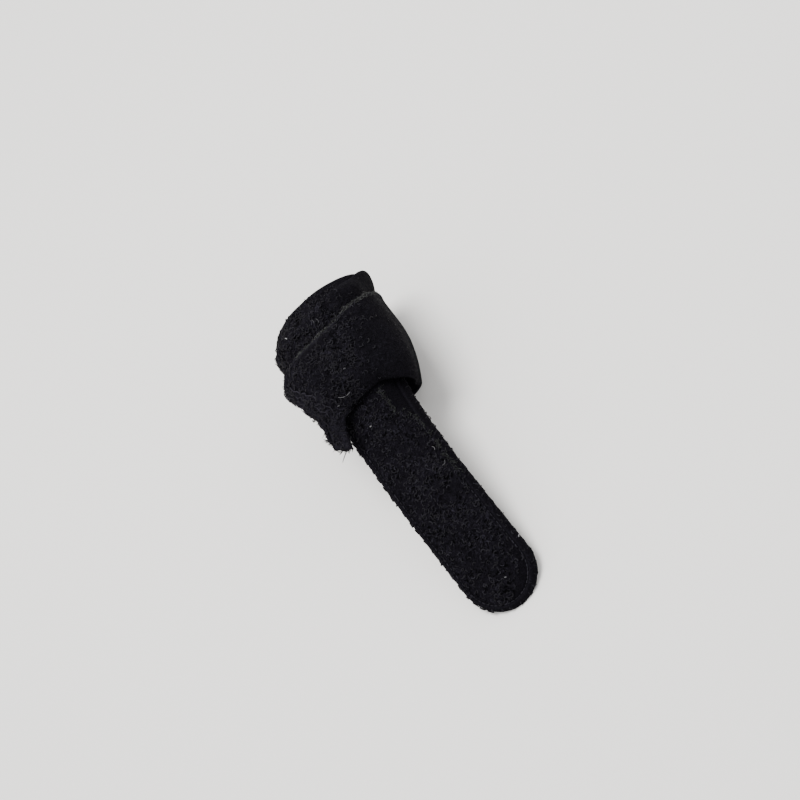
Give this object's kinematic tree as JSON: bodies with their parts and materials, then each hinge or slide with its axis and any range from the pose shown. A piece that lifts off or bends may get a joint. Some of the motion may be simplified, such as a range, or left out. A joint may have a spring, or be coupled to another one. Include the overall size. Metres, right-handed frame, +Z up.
{
  "type": "finger splint",
  "caption": "Finger splint: a flat padded tongue with a brushed loop-fabric strap wound round its end, holding a finger-sized hollow.",
  "frame": {"origin": "on the floor under the middle of the bounding box", "axes": "+X along the splint from the wound strap to the tongue's round tip, +Y across it, +Z up from the floor it lies on"},
  "size_m": [0.0924, 0.0322, 0.0346],
  "materials": {
    "tongue_cloth": "brushed, matt",
    "strap_cloth": "brushed loop, matt",
    "hook_tape": "hook tape, matt"
  },
  "bodies": {
    "root": {"tongue": "tongue_cloth", "strap": "strap_cloth", "hook_tab": "hook_tape"}
  },
  "joints": []
}
